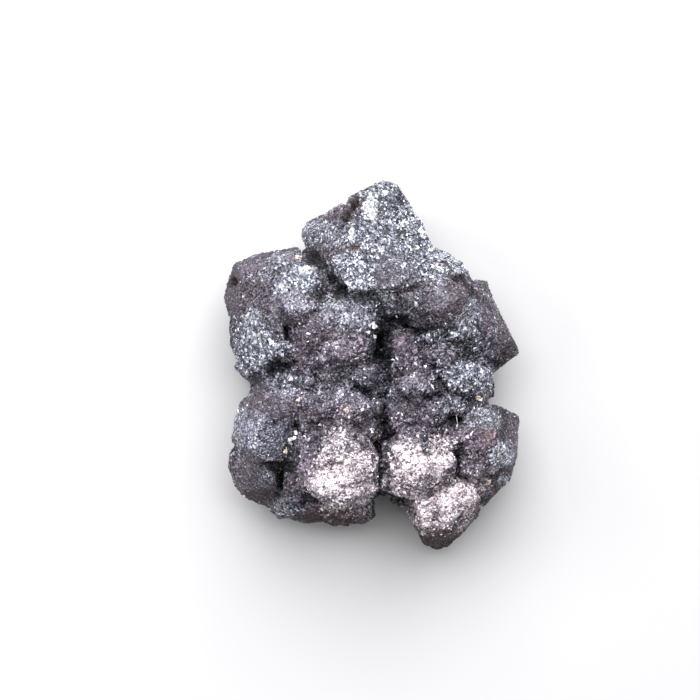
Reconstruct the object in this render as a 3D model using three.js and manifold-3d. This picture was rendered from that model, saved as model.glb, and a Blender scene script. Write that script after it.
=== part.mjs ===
// A hematite pseudomorph after magnetite: one hand specimen of intergrown, rough octahedral crystals
// round a drusy middle with deep pits. It lies on its broken back and shows its crystal side upwards.
// Units are millimetres. +Z is up. Seen from above, +X is the specimen's right and +Y its top.
// The origin is the middle of the flat break that it rests on, under the centre of its outline.
import * as THREE from "three";
import { ConvexGeometry } from "three/addons/geometries/ConvexGeometry.js";
import { MeshSurfaceSampler } from "three/addons/math/MeshSurfaceSampler.js";
import { mergeVertices } from "three/addons/utils/BufferGeometryUtils.js";
import Module from "manifold-3d";

// Driving dimensions: the finished specimen is brought to exactly this size.
const WIDTH = 29.6;
const LENGTH = 37.0;
const HEIGHT = 17.6;

// The small crystals that grow out of the surface, most of them in the middle of the face.
const DRUSE = {
  count: 205,
  reach: { least: 0.55, most: 1.35 },
  sunk: 0.3, // share of a small crystal's reach that its centre lies under the surface
  lowest: 1.4, // nothing grows from the break itself
  middle: { at: [-0.6, -2.6], reach: [9.0, 8.6] },
  elsewhere: 0.05, // how many of the chances outside the middle are taken
};

// How far a lump's corners stray from a plain ball, as a share of its radius.
const LUMP_UNEVENNESS = 0.13;

// Corners closer than this are one corner.
const SAME_CORNER = 1e-4;

// The shapes left to chance start from these seeds, so that every build gives the same specimen.
const SEEDS = { filler: 5, flank: 8, lumps: 11, druse: 14 };

const wasm = await Module();
wasm.setup();

// The next seeded random number from 0 to 1. A seed starts the numbers again.
const random = THREE.MathUtils.seededRandom;

function between({ least, most }, share) {
  return least + (most - least) * share;
}

// The geometry with each corner held once and nothing but its place.
function withSharedCorners(geometry) {
  const bare = geometry.clone();
  bare.deleteAttribute("normal");
  bare.deleteAttribute("uv");
  return mergeVertices(bare, SAME_CORNER);
}

// A closed geometry as a solid that can be joined and cut.
function solidFrom(geometry) {
  const merged = withSharedCorners(geometry);
  return new wasm.Manifold(
    new wasm.Mesh({
      numProp: 3,
      vertProperties: new Float32Array(merged.attributes.position.array),
      triVerts: new Uint32Array(merged.index.array),
    }),
  );
}

function geometryFrom(solid) {
  const mesh = solid.getMesh();
  const geometry = new THREE.BufferGeometry();
  geometry.setAttribute("position", new THREE.BufferAttribute(mesh.vertProperties, mesh.numProp));
  geometry.setIndex(new THREE.BufferAttribute(mesh.triVerts, 1));
  return geometry;
}

// Joins solids two by two, which is quicker than adding them to one growing solid.
function joined(solids) {
  let left = [...solids];
  while (left.length > 1) {
    const pairs = [];
    for (let i = 0; i < left.length; i += 2) {
      pairs.push(i + 1 < left.length ? left[i].add(left[i + 1]) : left[i]);
    }
    left = pairs;
  }
  return left[0];
}

// A crystal with flat faces between the corners named here, each [x, y, z].
function crystal(corners) {
  return solidFrom(new ConvexGeometry(corners.map((c) => new THREE.Vector3(...c))));
}

// An uneven knob of flat faces, 20 of them or, at a fineness of 1, 80.
function lump({ at, reach, turn = 0, fineness = 0 }) {
  const ball = withSharedCorners(new THREE.IcosahedronGeometry(1, fineness));
  const position = ball.attributes.position;
  for (let i = 0; i < position.count; i += 1) {
    const stray = 1 + LUMP_UNEVENNESS * (2 * random() - 1);
    position.setXYZ(i, position.getX(i) * stray, position.getY(i) * stray, position.getZ(i) * stray);
  }
  ball.rotateX(Math.PI * random()).rotateY(Math.PI * random());
  ball.scale(...reach);
  ball.rotateZ(turn);
  ball.translate(...at);
  return solidFrom(ball);
}

// The big crystals, by their corners. Their order runs round the specimen from its top, clockwise.
const BIG_CRYSTALS = {
  top: [
    [1.1, 18.5, 8.2], [2.6, 18.1, 8.2], [3.6, 16.4, 9.0], [-2.2, 16.9, 9.0], [-1.9, 14.6, 13.4],
    [-2.2, 12.2, 14.4], [-3.9, 10.4, 15.0], [-3.4, 8.8, 15.8], [-1.9, 7.4, 16.8], [6.6, 10.9, 10.0],
    [2.9, 7.6, 14.6], [1.5, 15.5, 2.5], [-2.6, 12.0, 2.0], [4.6, 9.5, 3.0],
  ],
  topShoulder: [
    [-7.0, 13.4, 7.4], [-6.4, 14.3, 7.6], [-2.9, 16.2, 9.2], [-6.6, 11.8, 7.4], [-6.0, 13.0, 10.6],
    [-3.4, 9.6, 14.0], [-1.7, 14.6, 13.0], [-5.4, 10.6, 11.4], [-4.4, 13.4, 2.0], [-2.5, 10.8, 3.0],
  ],
  topFoot: [
    [1.0, 10.0, 15.0], [2.9, 7.3, 14.2], [5.6, 8.0, 13.4], [9.4, 9.0, 11.2], [6.4, 11.0, 10.4],
    [-0.4, 7.3, 14.6], [4.0, 8.0, 4.0],
  ],
  brownBoss: [
    [0.2, 7.3, 11.8], [2.8, 7.6, 13.3], [5.6, 8.2, 13.4], [7.2, 8.7, 13.6], [9.3, 7.7, 12.4],
    [9.9, 6.0, 12.6], [9.4, 4.6, 13.0], [8.2, 3.6, 13.2], [6.6, 3.5, 13.2], [4.9, 3.8, 12.2],
    [1.3, 4.7, 9.8], [8.3, 6.6, 14.9], [6.6, 5.4, 14.9], [3.6, 6.1, 13.9], [5.0, 6.0, 3.0],
  ],
  rightLedgeHigh: [
    [6.2, 11.9, 6.8], [7.7, 11.3, 6.4], [8.6, 10.4, 6.6], [9.7, 9.2, 7.4], [6.2, 10.0, 11.4],
    [8.8, 9.3, 11.6], [6.5, 8.2, 3.0],
  ],
  rightLedgeMiddle: [
    [8.9, 10.3, 5.6], [9.8, 9.2, 5.8], [10.2, 8.0, 7.0], [8.4, 9.4, 9.8], [9.8, 7.8, 11.4],
    [7.8, 7.4, 12.6], [8.0, 7.0, 3.0],
  ],
  rightLedgeLow: [
    [10.2, 8.6, 5.4], [11.6, 8.5, 5.6], [12.1, 6.6, 6.8], [10.3, 8.0, 9.8], [11.5, 6.6, 10.0],
    [9.2, 7.3, 12.0], [9.6, 5.4, 12.2], [9.6, 6.6, 2.6],
  ],
  right: [
    [14.8, 1.3, 7.2], [14.4, 2.0, 8.2], [12.1, 6.7, 8.0], [9.9, 6.4, 11.6], [9.0, 3.8, 12.8],
    [7.2, 3.0, 12.4], [5.2, 3.3, 11.8], [5.4, 1.6, 11.6], [12.2, -0.7, 6.4], [7.4, 0.2, 10.4],
    [12.4, 2.6, 2.6], [8.0, 2.0, 1.6],
  ],
  rightNeck: [
    [12.1, -0.4, 6.4], [12.1, -2.9, 6.4], [11.0, -4.0, 8.6], [11.2, -0.2, 10.2], [8.4, 0.1, 12.0],
    [6.2, -0.6, 12.2], [8.2, -2.4, 11.8], [10.8, -2.6, 10.4], [10.4, -1.8, 2.2], [6.8, -2.0, 3.0],
  ],
  rightLow: [
    [12.0, -3.7, 8.8], [13.4, -4.3, 6.6], [14.8, -5.0, 5.8], [14.7, -8.4, 5.2], [14.1, -11.0, 4.6],
    [12.0, -7.8, 12.2], [13.8, -9.4, 9.6], [9.4, -4.6, 12.0], [8.5, -8.0, 12.8],
    [8.8, -10.5, 12.0], [10.4, -10.6, 11.6], [12.7, -12.4, 5.0], [11.0, -8.0, 1.6],
  ],
  rightLowRim: [
    [14.0, -10.4, 5.2], [13.6, -11.4, 7.8], [12.4, -12.4, 7.4], [11.2, -14.2, 4.6],
    [12.4, -13.0, 4.0], [9.6, -11.4, 11.2], [8.4, -12.0, 5.0], [11.4, -10.4, 9.8],
  ],
  bottomTip: [
    [6.6, -18.5, 4.4], [5.2, -17.9, 4.2], [3.6, -14.4, 6.0], [7.7, -18.2, 4.6], [9.4, -16.6, 4.6],
    [10.8, -14.9, 5.0], [4.6, -13.0, 13.2], [8.6, -11.6, 13.4], [10.6, -12.9, 12.0],
    [9.2, -15.2, 11.2], [6.6, -16.7, 11.6], [4.9, -15.6, 12.0], [7.4, -13.6, 1.8], [7.0, -9.5, 5.0],
  ],
  bottomLeft: [
    [-14.4, -10.1, 6.2], [-14.1, -8.4, 7.0], [-13.8, -12.0, 5.6], [-13.0, -13.1, 5.2],
    [-11.4, -9.0, 10.8], [-9.7, -11.3, 10.6], [-9.2, -10.0, 9.0], [-11.6, -13.8, 4.8],
    [-9.6, -14.5, 4.8], [-9.2, -12.8, 7.6], [-13.4, -7.6, 6.6], [-11.0, -10.5, 1.6],
  ],
  left: [
    [-10.2, -1.6, 9.8], [-13.0, -3.4, 8.4], [-13.7, -5.4, 6.8], [-14.0, -7.6, 7.2],
    [-8.0, -3.2, 12.0], [-7.5, -5.4, 11.6], [-10.4, -5.2, 14.8], [-8.6, -5.0, 13.6],
    [-11.9, -8.0, 12.8], [-11.6, -9.6, 11.0], [-8.8, -9.2, 11.4], [-10.4, -5.6, 1.8],
  ],
  leftBright: [
    [-12.9, 4.9, 11.2], [-14.1, 4.8, 7.8], [-13.9, 3.4, 8.8], [-14.0, 1.8, 7.0], [-12.3, -1.2, 9.4],
    [-8.5, 1.6, 13.6], [-8.8, 4.8, 14.2], [-11.0, 5.2, 13.2], [-8.6, 0.0, 9.6], [-11.0, 2.0, 2.0],
  ],
  topLeft: [
    [-13.8, 10.2, 5.8], [-14.5, 8.1, 6.0], [-14.8, 7.0, 6.0], [-14.3, 5.0, 6.6], [-11.7, 11.2, 5.8],
    [-7.2, 11.9, 7.2], [-12.6, 9.4, 10.6], [-9.2, 10.2, 12.2], [-9.4, 4.4, 13.6],
    [-13.3, 4.8, 10.8], [-6.4, 9.8, 12.4], [-6.0, 6.0, 11.6], [-7.4, 3.8, 12.8], [-10.0, 8.0, 1.6],
  ],
  innerBright: [
    [-6.3, 10.0, 12.9], [-9.7, 8.2, 13.4], [-8.4, 5.3, 14.8], [-5.4, 5.8, 14.5], [-4.9, 8.4, 13.2],
    [-7.4, 4.3, 14.0], [-7.0, 7.5, 5.0],
  ],
};

// Rounded knobs: the drusy middle, the pale lumps and the dark rim under them.
const LUMPS = [
  { at: [-2.0, 5.0, 12.0], reach: [2.7, 2.2, 2.6] },
  { at: [-5.4, 3.6, 11.8], reach: [2.9, 2.6, 2.5], fineness: 1 },
  { at: [-2.4, 2.0, 12.0], reach: [3.2, 2.5, 2.7], fineness: 1 },
  { at: [-6.4, 1.2, 11.2], reach: [2.4, 2.2, 2.5] },
  { at: [-4.9, -1.6, 10.9], reach: [3.0, 2.0, 2.4] },
  { at: [-1.2, -0.8, 10.8], reach: [2.6, 1.8, 2.2] },
  { at: [-3.2, -4.2, 11.4], reach: [3.6, 2.6, 2.9], fineness: 1 },
  { at: [-6.6, -4.4, 11.0], reach: [2.1, 2.2, 2.6] },
  { at: [2.9, 1.4, 11.0], reach: [2.0, 3.2, 2.6], turn: 0.35 },
  { at: [4.1, -2.2, 11.8], reach: [2.2, 2.0, 2.8], fineness: 1 },
  { at: [6.0, 0.2, 10.2], reach: [2.6, 2.4, 2.4] },
  { at: [2.9, -4.8, 11.4], reach: [2.6, 2.4, 2.5] },
  { at: [5.8, -4.6, 10.9], reach: [2.4, 2.2, 2.3] },
  { at: [8.1, -3.2, 9.2], reach: [2.0, 1.8, 2.2] },
  { at: [8.6, -6.9, 11.2], reach: [2.4, 2.2, 2.3] },
  { at: [-0.6, -5.9, 10.8], reach: [2.0, 2.4, 2.5] },
  { at: [-3.3, -9.7, 12.0], reach: [4.2, 4.6, 4.3], fineness: 1 },
  { at: [-6.1, -7.6, 11.0], reach: [2.6, 2.6, 2.9] },
  { at: [4.5, -9.5, 12.1], reach: [3.8, 3.4, 3.7], fineness: 1 },
  { at: [2.3, -11.0, 10.9], reach: [2.4, 1.8, 2.5] },
  { at: [-7.6, -11.4, 8.4], reach: [2.2, 2.5, 2.4] },
  { at: [-8.4, -13.6, 5.6], reach: [2.3, 1.8, 3.2] },
  { at: [-6.4, -14.4, 5.2], reach: [2.6, 1.7, 3.2] },
  { at: [-3.0, -14.5, 5.8], reach: [2.8, 1.8, 3.2] },
  { at: [-0.9, -14.3, 5.6], reach: [1.7, 1.6, 3.0] },
];

// The rock mass that the crystals grow out of: an outline inside theirs, with sloping shoulders.
const MASS_OUTLINE = [
  [0.5, 15.5], [5.0, 10.6], [8.6, 8.4], [11.0, 5.2], [11.8, 0.8], [11.2, -2.6], [12.6, -5.8], [12.4, -10.4],
  [8.4, -15.6], [3.8, -13.4], [1.4, -11.8], [-1.0, -13.6], [-7.0, -13.6], [-11.6, -10.8], [-12.0, -5.4],
  [-11.6, -0.8], [-12.6, 3.6], [-12.4, 8.4], [-6.0, 10.8], [-4.6, 13.4],
];
const MASS_SHOULDER = { height: 5.0, width: 3.6, steps: 2 };
const MASS_WAIST = { low: 1.5, high: 5.6 }; // between these heights the mass has its full outline

// Octahedra that fill the hollows between the big crystals, spread over the mass by chance.
const FILLER = {
  count: 46,
  spread: 0.9, // how far out they go, as a share of the way to the outline of the mass
  reach: { least: 1.6, most: 2.9 },
  top: 11.4, // the height that they come up to in the middle of the specimen
  unevenness: 1.5, // how far some of them stay under that
  slope: 0.22, // the height lost for each millimetre outwards, past the flat middle
  flatMiddle: 6.0,
  sunk: 0.7, // share of a crystal's reach that its centre lies under its top
};

// Stout octahedra round the lower flank, so that the specimen is crystals on all its sides.
const FLANK = {
  count: 17,
  reach: { least: 2.8, most: 4.2 },
  height: { least: 2.2, most: 4.6 },
  inset: 0.86, // how far out their centres are, as a share of the way to the outline of the mass
};

// Deep pits and cracks between the crystals.
const PITS = [
  { at: [0.75, 2.3, 13.6], reach: [1.05, 2.5, 6.4], turn: -0.06 },
  { at: [2.2, 4.5, 13.4], reach: [1.5, 0.8, 3.6], turn: 0.5 },
  { at: [-0.6, 6.9, 14.0], reach: [2.0, 0.6, 3.2], turn: -0.5 },
  { at: [-4.3, 8.0, 14.0], reach: [1.0, 0.9, 3.6], turn: 0.5 },
  { at: [1.25, -5.0, 13.4], reach: [0.5, 2.2, 4.6], turn: 0.05 },
  { at: [8.2, -5.15, 12.4], reach: [1.25, 0.7, 4.6] },
  { at: [-8.3, 0.0, 13.0], reach: [1.7, 1.0, 4.6], turn: 0.5 },
  { at: [-1.5, -2.4, 13.4], reach: [1.2, 0.45, 3.4], turn: -0.45 },
  { at: [-7.2, -6.7, 13.0], reach: [0.5, 1.1, 4.2] },
  { at: [-9.0, -11.3, 10.6], reach: [0.5, 1.8, 3.8] },
  { at: [0.65, -10.2, 13.4], reach: [0.5, 3.0, 5.0] },
  { at: [1.2, -14.2, 9.0], reach: [1.3, 1.5, 11.0] },
  { at: [-5.6, 10.6, 12.6], reach: [0.9, 0.8, 3.6] },
  { at: [6.2, -3.0, 13.4], reach: [1.6, 0.5, 3.6], turn: 0.2 },
];

// The rock mass, whose top and foot draw in past its waist.
function rockMass() {
  const outline = new THREE.Shape(MASS_OUTLINE.map((p) => new THREE.Vector2(...p)));
  const mass = new THREE.ExtrudeGeometry(outline, {
    depth: MASS_WAIST.high - MASS_WAIST.low,
    bevelThickness: MASS_SHOULDER.height,
    bevelSize: MASS_SHOULDER.width,
    bevelOffset: -MASS_SHOULDER.width,
    bevelSegments: MASS_SHOULDER.steps,
  });
  return solidFrom(mass.translate(0, 0, MASS_WAIST.low));
}

// An octahedron turned at random.
function octahedron(centre, reach) {
  const turn = new THREE.Quaternion().setFromEuler(
    new THREE.Euler(Math.PI * random(), Math.PI * random(), Math.PI * random()),
  );
  const place = new THREE.Matrix4().compose(centre, turn, new THREE.Vector3(1, 1, 1));
  return solidFrom(new THREE.OctahedronGeometry(reach).applyMatrix4(place));
}

// Where a ray from the middle, at this angle, leaves the outline of the mass.
function rimPoint(angle) {
  const ray = new THREE.Vector2(Math.cos(angle), Math.sin(angle));
  let farthest = 0;
  MASS_OUTLINE.forEach((corner, i) => {
    const start = new THREE.Vector2(...corner);
    const side = new THREE.Vector2(...MASS_OUTLINE[(i + 1) % MASS_OUTLINE.length]).sub(start);
    const slant = ray.cross(side);
    const distance = start.cross(side) / slant;
    const shareOfSide = start.cross(ray) / slant;
    if (distance > farthest && shareOfSide >= 0 && shareOfSide <= 1) farthest = distance;
  });
  return ray.multiplyScalar(farthest);
}

// Middle-sized crystals over the top of the mass, in a golden-angle spiral.
function fillerCrystals() {
  random(SEEDS.filler);
  const goldenAngle = Math.PI * (3 - Math.sqrt(5));
  return Array.from({ length: FILLER.count }, (_, i) => {
    const outwards = FILLER.spread * Math.sqrt((i + 0.5) / FILLER.count);
    const { x, y } = rimPoint(i * goldenAngle).multiplyScalar(outwards);
    const past = Math.max(0, Math.hypot(x, y) - FILLER.flatMiddle);
    const reach = between(FILLER.reach, random());
    const top = FILLER.top - FILLER.slope * past - FILLER.unevenness * random();
    return octahedron(new THREE.Vector3(x, y, top - FILLER.sunk * reach), reach);
  });
}

function flankCrystals() {
  random(SEEDS.flank);
  return Array.from({ length: FLANK.count }, (_, i) => {
    const angle = (2 * Math.PI * (i + 0.5 * random())) / FLANK.count;
    const { x, y } = rimPoint(angle).multiplyScalar(FLANK.inset);
    const height = between(FLANK.height, random());
    return octahedron(new THREE.Vector3(x, y, height), between(FLANK.reach, random()));
  });
}

// The mass and all that grows from it, with the pits cut in.
function roughCluster() {
  const crystals = [...fillerCrystals(), ...flankCrystals(), ...Object.values(BIG_CRYSTALS).map(crystal)];
  random(SEEDS.lumps);
  const grown = joined([rockMass(), ...crystals, ...LUMPS.map(lump)]);
  return grown.subtract(joined(PITS.map(lump)));
}

// Small octahedra, half sunk at points spread over the surface, each turned its own way.
function druse(cluster) {
  random(SEEDS.druse);
  const surface = new THREE.Mesh(geometryFrom(cluster).toNonIndexed());
  const sampler = new MeshSurfaceSampler(surface).setRandomGenerator(() => random()).build();
  const point = new THREE.Vector3();
  const normal = new THREE.Vector3();
  const small = [];
  const [x, y] = DRUSE.middle.at;
  const [reachX, reachY] = DRUSE.middle.reach;
  while (small.length < DRUSE.count) {
    sampler.sample(point, normal);
    const inMiddle = Math.hypot((point.x - x) / reachX, (point.y - y) / reachY) < 1 && normal.z > 0;
    if (point.z < DRUSE.lowest || (!inMiddle && random() > DRUSE.elsewhere)) continue;
    const reach = between(DRUSE.reach, random() ** 2);
    small.push(octahedron(point.clone().addScaledVector(normal, -DRUSE.sunk * reach), reach));
  }
  return small;
}

// The largest of the bodies that a solid holds: a splinter that the cuts set free is left out.
function largestBody(solid) {
  return solid.decompose().reduce((kept, body) => (body.volume() > kept.volume() ? body : kept));
}

// Cuts off all that lies under the plane of the break.
function brokenOffFlat(solid) {
  const slab = new THREE.BoxGeometry(2 * WIDTH, 2 * LENGTH, HEIGHT).translate(0, 0, -HEIGHT / 2);
  return solid.subtract(solidFrom(slab));
}

// Brings the specimen to its driving size, with the origin under the centre of its outline.
function toSize(geometry) {
  geometry.computeBoundingBox();
  const box = geometry.boundingBox;
  const size = box.getSize(new THREE.Vector3());
  const centre = box.getCenter(new THREE.Vector3());
  return geometry
    .translate(-centre.x, -centre.y, -box.min.z)
    .scale(WIDTH / size.x, LENGTH / size.y, HEIGHT / size.z);
}

const rough = roughCluster();
const grown = joined([rough, ...druse(rough)]);
const cluster = new THREE.Mesh(
  toSize(geometryFrom(largestBody(brokenOffFlat(grown)))),
  new THREE.MeshStandardMaterial({ color: 0x5b585d, roughness: 0.45, metalness: 0.7, flatShading: true }),
);
cluster.name = "crystal_cluster";

const specimen = new THREE.Group();
specimen.add(cluster);
export default specimen;
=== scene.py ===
import math

import bmesh
import bpy
import numpy as np
from mathutils import Matrix, Vector, noise
from mathutils.bvhtree import BVHTree
from mathutils.kdtree import KDTree


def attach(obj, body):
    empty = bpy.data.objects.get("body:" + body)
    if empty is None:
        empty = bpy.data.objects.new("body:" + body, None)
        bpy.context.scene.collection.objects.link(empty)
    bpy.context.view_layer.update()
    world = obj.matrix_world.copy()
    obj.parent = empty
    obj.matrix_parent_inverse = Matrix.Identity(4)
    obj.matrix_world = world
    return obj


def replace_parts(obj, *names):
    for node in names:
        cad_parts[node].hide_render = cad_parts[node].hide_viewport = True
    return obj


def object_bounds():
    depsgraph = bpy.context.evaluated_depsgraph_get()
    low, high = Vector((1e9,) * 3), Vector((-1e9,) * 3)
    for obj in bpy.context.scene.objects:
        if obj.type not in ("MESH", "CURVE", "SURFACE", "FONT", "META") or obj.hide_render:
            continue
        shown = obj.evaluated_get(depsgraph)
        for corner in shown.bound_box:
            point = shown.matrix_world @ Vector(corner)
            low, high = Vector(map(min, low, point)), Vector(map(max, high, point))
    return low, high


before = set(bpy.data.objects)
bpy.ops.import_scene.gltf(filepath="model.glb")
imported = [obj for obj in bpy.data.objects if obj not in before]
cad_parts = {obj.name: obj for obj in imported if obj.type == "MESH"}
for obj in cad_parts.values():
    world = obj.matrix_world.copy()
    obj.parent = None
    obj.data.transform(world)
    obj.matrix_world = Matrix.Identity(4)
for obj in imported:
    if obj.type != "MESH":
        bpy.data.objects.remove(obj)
CAD_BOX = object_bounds()

MM = 0.001
NODE = "crystal_cluster"
DOWN = Vector((0, 0, -1))
HIGH_ABOVE = 100
rng = np.random.default_rng(7)


def linear(red, green, blue):
    """A colour as seen on screen, 0 to 255, as the linear values that a shader takes."""
    def one(value):
        value /= 255
        return value / 12.92 if value <= 0.04045 else ((value + 0.055) / 1.055) ** 2.4
    return (one(red), one(green), one(blue), 1.0)


# The skin: how finely it is meshed, and how high its relief is on crystal faces and in the druse. Each layer
# of swells has its size, then its height on faces and in the druse.
SKIN = {
    "merge": 1e-7,
    "voxel": 0.22,
    "smoothing": 0.5,
    "smoothing_rounds": 2,
    "facet_spacing": 0.95,
    "facet_tilt": 0.15,
    "facet_flatness": (0.2, 0.75),
    "facet_step": (0.015, 0.12),
    "deepest_cut": 0.35,
    "layers": ((2.2, 0.03, 0.3), (1.0, 0.035, 0.22), (0.5, 0.045, 0.17)),
    "druse_edge": 1.5,
    "druse_down_to": -0.2,
}

# The grains that cover the skin. A fine grain reaches about 0.1 mm from its middle. Those in one patch lean
# alike, and each also leans by chance.
GRAINS = {
    "tries": 112000,
    "reach": (0.08, 0.21),
    "lowest": 0.5,
    "sunk": 0.15,
    "flatness": (0.5, 1.0),
    "stretch": (0.8, 1.3),
    "glints": 0.035,
    "lean": 0.35,
}
PATCHES = {"size": 0.9, "lean": 0.45}

# Bigger crystals that stand up where it is drusy, with less of the pale crust and of the silver.
CRYSTALS = {
    "tries": 15000,
    "reach": (0.18, 0.42),
    "lowest": 3.0,
    "sunk": 0.35,
    "flatness": (0.8, 1.0),
    "glints": 0.0,
    "lean": 0.5,
    "drusy_from": 0.4,
    "pale_share": 0.8,
    "silver_share": 0.4,
}

# How grains differ where crystal faces are smooth: factors for their reach and lean, and the shares of their
# uneven shade and of their glints that they lose.
SMOOTH_GRAINS = {"reach": 0.72, "lean": 0.45, "spread_lost": 0.35, "glints_lost": 0.6}

# How grains differ where they are silvery: a factor for their reach, how much longer they may be, the lean by
# chance of a dull grain, of which silver takes some away, and how much of the silver each keeps.
SILVER_GRAINS = {"reach": 1.4, "stretch": 0.9, "dull_lean": 1.25, "kept": (0.75, 1.0)}

# Single grains that flash, with a painted highlight: more silver and a brighter shade than the rest. There
# are fewer of them in the purple, and none where it is mostly pale or dark.
GLINTS = {"silver": 0.8, "shade": 1.6, "uneven": 0.2, "lost_in_purple": 0.5, "pale_or_dark_below": 0.5}

# How the shade differs from grain to grain: in clumps and by chance, with wider swells on top, and its range.
# Clumps and swells have their size first.
GRAIN_SHADE = {
    "clumps": (0.42, 1.5),
    "by_chance": 0.75,
    "evened": 0.25,
    "swells": ((1.3, 0.35), (2.6, 0.2)),
    "range": (0.08, 2.3),
}

# The pale crust: the chance of a pale grain in the middle of a zone, how pale it is, how much of the pale
# tone the grains between take, and the shades of both.
PALE_GRAINS = {
    "chance": 0.93,
    "tone": (0.75, 1.0),
    "tone_between": 0.25,
    "shade": (0.55, 1.05),
    "darkest_between": 0.08,
    "lifted_between": 0.4,
}

# How each finish of hematite looks, and the painted light laid like one: colour, metal, roughness, and how
# much its grains differ in tone. Dark is painted shade; white is partly painted highlight; silver, frost and
# lilac are partly painted highlight on faces that catch the light.
TONES = {
    "plain": (linear(82, 78, 89), 0.6, 0.42, 0.6),
    "purple": (linear(102, 91, 103), 0.2, 0.55, 0.45),
    "lilac": (linear(134, 126, 140), 0.25, 0.5, 0.35),
    "silver": (linear(208, 213, 229), 0.55, 0.36, 0.65),
    "frost_and_highlight": (linear(167, 168, 186), 0.4, 0.4, 0.35),
    "rust": (linear(118, 88, 92), 0.05, 0.6, 0.35),
    "brown": (linear(56, 36, 39), 0.1, 0.6, 0.5),
    # dark: painted shade, laid where shade falls in holes, cracks and gaps and under overhanging crystals and
    # faces
    "dark": (linear(20, 21, 31), 0.3, 0.5, 1.1),
    # white: painted highlight in its zones, and the own colour of the white flakes and needles
    "white": (linear(236, 240, 246), 0.4, 0.3, 0.15),
    "pale": (linear(220, 206, 214), 0.0, 0.55, 0.42),
    "cream": (linear(208, 190, 174), 0.0, 0.6, 0.15),
}

BRIGHTEST = (0.9, 0.9, 0.9)

# Painted shade and light from the relief: the bottoms of hollows are painted dark, and what stands up is
# painted lighter. The skin shows only in the gaps between grains, and has painted shade there, darker than
# they are.
HOLLOWS = {"relief": (-0.35, -0.1, 0.1, 0.35), "shade": (0.2, 0.85, 1.05, 1.4)}
PAINTED_GAP_SHADE = {"hematite": 0.3, "pale": 0.7}

# The tiny cells that flash, how far their normals turn on the skin and on the grains, and how much an uneven
# finish makes them differ in shade.
SPARKLE = {"cell": 0.16, "skin": 0.8, "grains": 0.3, "contrast": 1.6}

# The small plates of silvery faces: their size, the lines between them, and how the lines wander.
PLATES = {
    "cell": 0.7,
    "line": 0.3,
    "line_shade": 0.05,
    "darkest": 0.7,
    "shade_range": 0.9,
    "wander": 0.45,
    "bends_per_mm": 2.5,
}

# The edges of zones, as shares of a zone's reach: how wide they are, and how far the wobble shifts them. The
# wobble has swells of two sizes, each with its height. The pale crust frays out more widely.
EDGES = {"width": 0.4, "shift": 0.5, "swells": ((1.1, 0.7), (0.4, 0.7)), "pale_width": 0.9, "pale_fray": 1.5}

# Zones fade out on faces that look down: their strength on an upright face, and how fast it grows upwards.
FADE = {"upright": 0.8, "growth": 1.5}

# Purple that lies about by chance, besides its zones.
STRAY_PURPLE = {"size": 3.0, "level": 0.3, "most": 0.8}
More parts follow.
